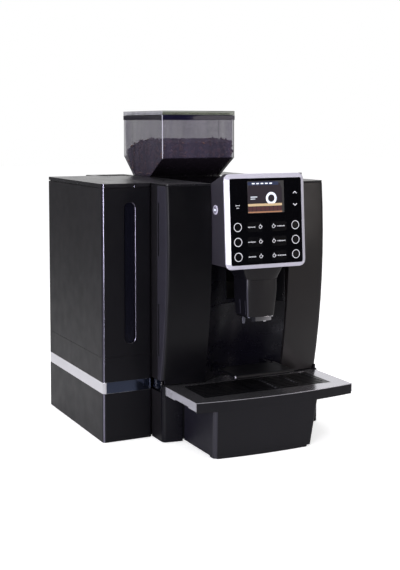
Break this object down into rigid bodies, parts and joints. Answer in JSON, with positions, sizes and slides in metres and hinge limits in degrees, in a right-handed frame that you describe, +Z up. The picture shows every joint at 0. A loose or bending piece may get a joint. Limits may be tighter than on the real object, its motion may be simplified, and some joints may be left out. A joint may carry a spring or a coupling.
{
  "type": "bean to cup coffee machine",
  "caption": "Free-standing coffee machine with a bean hopper, side water tank, display head with push buttons, sliding spout, folding cup shelf and drip tray drawer.",
  "frame": {"origin": "on the table, under the middle of the machine's box", "axes": "+X to the machine's right (the water tank is at -X), +Y to its back, +Z up"},
  "size_m": [0.41, 0.511, 0.58],
  "materials": {
    "gloss_black": "polished",
    "satin_black": "satin",
    "dark_plastic": "fine grained",
    "grey_plastic": "satin",
    "pale_plastic": "satin",
    "smoked_clear": "clear smoked plastic",
    "clear_plastic": "clear",
    "control_glass": "black backed glass",
    "silver": "polished",
    "satin_silver": "satin",
    "steel": "brushed",
    "zinc_steel": "plain",
    "cast_aluminium": "as cast",
    "brass": "plain",
    "display": "lit picture behind glass",
    "beans": "roasted coffee",
    "board": "circuit board",
    "hose": "silicone"
  },
  "bodies": {
    "casing": {"base_plate": "dark_plastic", "left_side_panel": "gloss_black", "right_side_panel": "gloss_black", "rear_panel": "dark_plastic", "top_cover": "gloss_black", "centre_cover": "gloss_black", "left_wing": "gloss_black", "right_wing": "gloss_black", "lower_front_left": "satin_black", "lower_front_right": "satin_black", "splash_panel": "satin_black", "head_housing": "gloss_black", "display_frame": "satin_silver", "control_glass": "control_glass", "screen": "display", "button_rings": "silver", "spout_collar": "satin_black", "tank_base": "satin_black", "trim_band": "silver", "dock_socket": "dark_plastic", "hopper_body": "smoked_clear", "coffee_beans": "beans", "grinder_housing": "grey_plastic", "grinder_motor": "zinc_steel", "fixed_burr": "zinc_steel", "brew_frame": "dark_plastic", "brew_motor": "zinc_steel", "thermoblock": "cast_aluminium", "pump": "grey_plastic", "control_board": "board", "hose_tank_to_pump": "hose", "hose_pump_to_heater": "hose", "hose_heater_to_brew": "hose", "mains_inlet": "dark_plastic", "shelf_pin": "zinc_steel", "inner_frame": "zinc_steel"},
    "water_tank": {"tank_body": "gloss_black", "tank_window": "clear_plastic", "tank_valve": "pale_plastic"},
    "tank_cover": {"tank_lid": "gloss_black"},
    "hopper_cover": {"hopper_lid": "satin_black"},
    "coffee_spout": {"spout_body": "satin_black", "spout_nozzles": "silver"},
    "tray": {"tray_frame": "steel", "tray_front": "satin_black", "drip_tray": "dark_plastic", "grounds_container": "dark_plastic"},
    "grid": {"drip_grid": "satin_black"},
    "folding_shelf": {"cup_shelf": "satin_black", "shelf_rod": "silver"},
    "door": {"service_door": "gloss_black"},
    "grinding_burr": {"turning_burr": "zinc_steel"},
    "piston": {"brew_piston": "pale_plastic"},
    "power_key": {"power_button": "satin_silver"},
    "key_1": {"button_1": "satin_silver"},
    "key_2": {"button_2": "satin_silver"},
    "key_3": {"button_3": "satin_silver"},
    "key_4": {"button_4": "satin_silver"},
    "key_5": {"button_5": "satin_silver"},
    "key_6": {"button_6": "satin_silver"}
  },
  "joints": [
    {"name": "tank_lift", "type": "slide", "parent": "casing", "child": "water_tank", "axis": [0, 0, 1], "range_m": [0, 0.33]},
    {"name": "tank_lid_hinge", "type": "hinge", "parent": "water_tank", "child": "tank_cover", "pos_m": [-0.15875, 0.215, 0.446], "axis": [-1, 0, 0], "range_deg": [0, 80]},
    {"name": "hopper_lid_lift", "type": "slide", "parent": "casing", "child": "hopper_cover", "axis": [0, 0, 1], "range_m": [0, 0.05]},
    {"name": "spout_slide", "type": "slide", "parent": "casing", "child": "coffee_spout", "axis": [0, 0, -1], "range_m": [0, 0.045]},
    {"name": "tray_slide", "type": "slide", "parent": "casing", "child": "tray", "axis": [0, -1, 0], "range_m": [0, 0.16]},
    {"name": "grid_lift", "type": "slide", "parent": "tray", "child": "grid", "axis": [0, 0, 1], "range_m": [0, 0.015]},
    {"name": "shelf_fold", "type": "hinge", "parent": "casing", "child": "folding_shelf", "pos_m": [0.04685, -0.1361, 0.1226], "axis": [-1, 0, 0], "range_deg": [0, 88]},
    {"name": "door_hinge", "type": "hinge", "parent": "casing", "child": "door", "pos_m": [0.205, 0.1301, 0.115], "axis": [0, 0, 1], "range_deg": [0, 100]},
    {"name": "burr_spin", "type": "hinge", "parent": "casing", "child": "grinding_burr", "pos_m": [0.04685, 0.15935, 0.4], "axis": [0, 0, 1], "continuous": true},
    {"name": "piston_slide", "type": "slide", "parent": "casing", "child": "piston", "axis": [0, 0, 1], "range_m": [0, 0.024]},
    {"name": "power_press", "type": "slide", "parent": "casing", "child": "power_key", "axis": [1, 0, 0], "range_m": [0, 0.0008], "stiffness_N_per_m": 600, "springref_m": -0.001},
    {"name": "key_1_press", "type": "slide", "parent": "casing", "child": "key_1", "axis": [0, 0.9982, -0.0601], "range_m": [0, 0.001], "stiffness_N_per_m": 600, "springref_m": -0.001},
    {"name": "key_2_press", "type": "slide", "parent": "casing", "child": "key_2", "axis": [0, 0.9982, -0.0601], "range_m": [0, 0.001], "stiffness_N_per_m": 600, "springref_m": -0.001},
    {"name": "key_3_press", "type": "slide", "parent": "casing", "child": "key_3", "axis": [0, 0.9982, -0.0601], "range_m": [0, 0.001], "stiffness_N_per_m": 600, "springref_m": -0.001},
    {"name": "key_4_press", "type": "slide", "parent": "casing", "child": "key_4", "axis": [0, 0.9982, -0.0601], "range_m": [0, 0.001], "stiffness_N_per_m": 600, "springref_m": -0.001},
    {"name": "key_5_press", "type": "slide", "parent": "casing", "child": "key_5", "axis": [0, 0.9982, -0.0601], "range_m": [0, 0.001], "stiffness_N_per_m": 600, "springref_m": -0.001},
    {"name": "key_6_press", "type": "slide", "parent": "casing", "child": "key_6", "axis": [0, 0.9982, -0.0601], "range_m": [0, 0.001], "stiffness_N_per_m": 600, "springref_m": -0.001}
  ]
}
